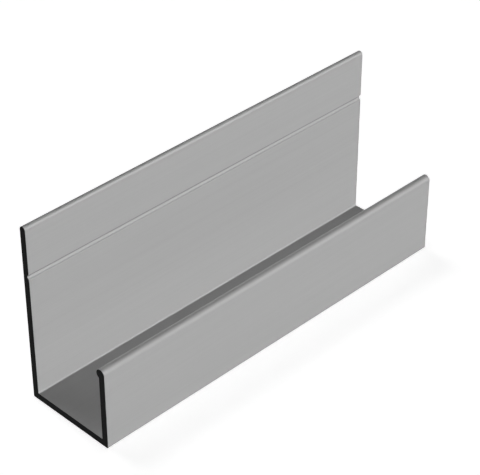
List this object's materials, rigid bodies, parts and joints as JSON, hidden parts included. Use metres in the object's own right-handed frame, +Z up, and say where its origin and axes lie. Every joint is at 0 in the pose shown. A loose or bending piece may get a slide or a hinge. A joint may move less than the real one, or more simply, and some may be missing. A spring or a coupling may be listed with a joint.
{
  "type": "aluminium j-channel profile",
  "caption": "Cut length of extruded aluminium J-channel: tall back flange with a round drill line, flat web and a short front leg with an inward bead, for holding a panel's edge.",
  "frame": {"origin": "middle of the web's underside, half way along the length", "axes": "+X along the length, +Y out of the back flange's flat back, +Z up from the web"},
  "size_m": [0.1, 0.0236, 0.0441],
  "materials": {
    "aluminium": "satin mill finish with fine extrusion lines along the length, saw-cut ends"
  },
  "bodies": {
    "root": {"j_channel": "aluminium"}
  },
  "joints": []
}
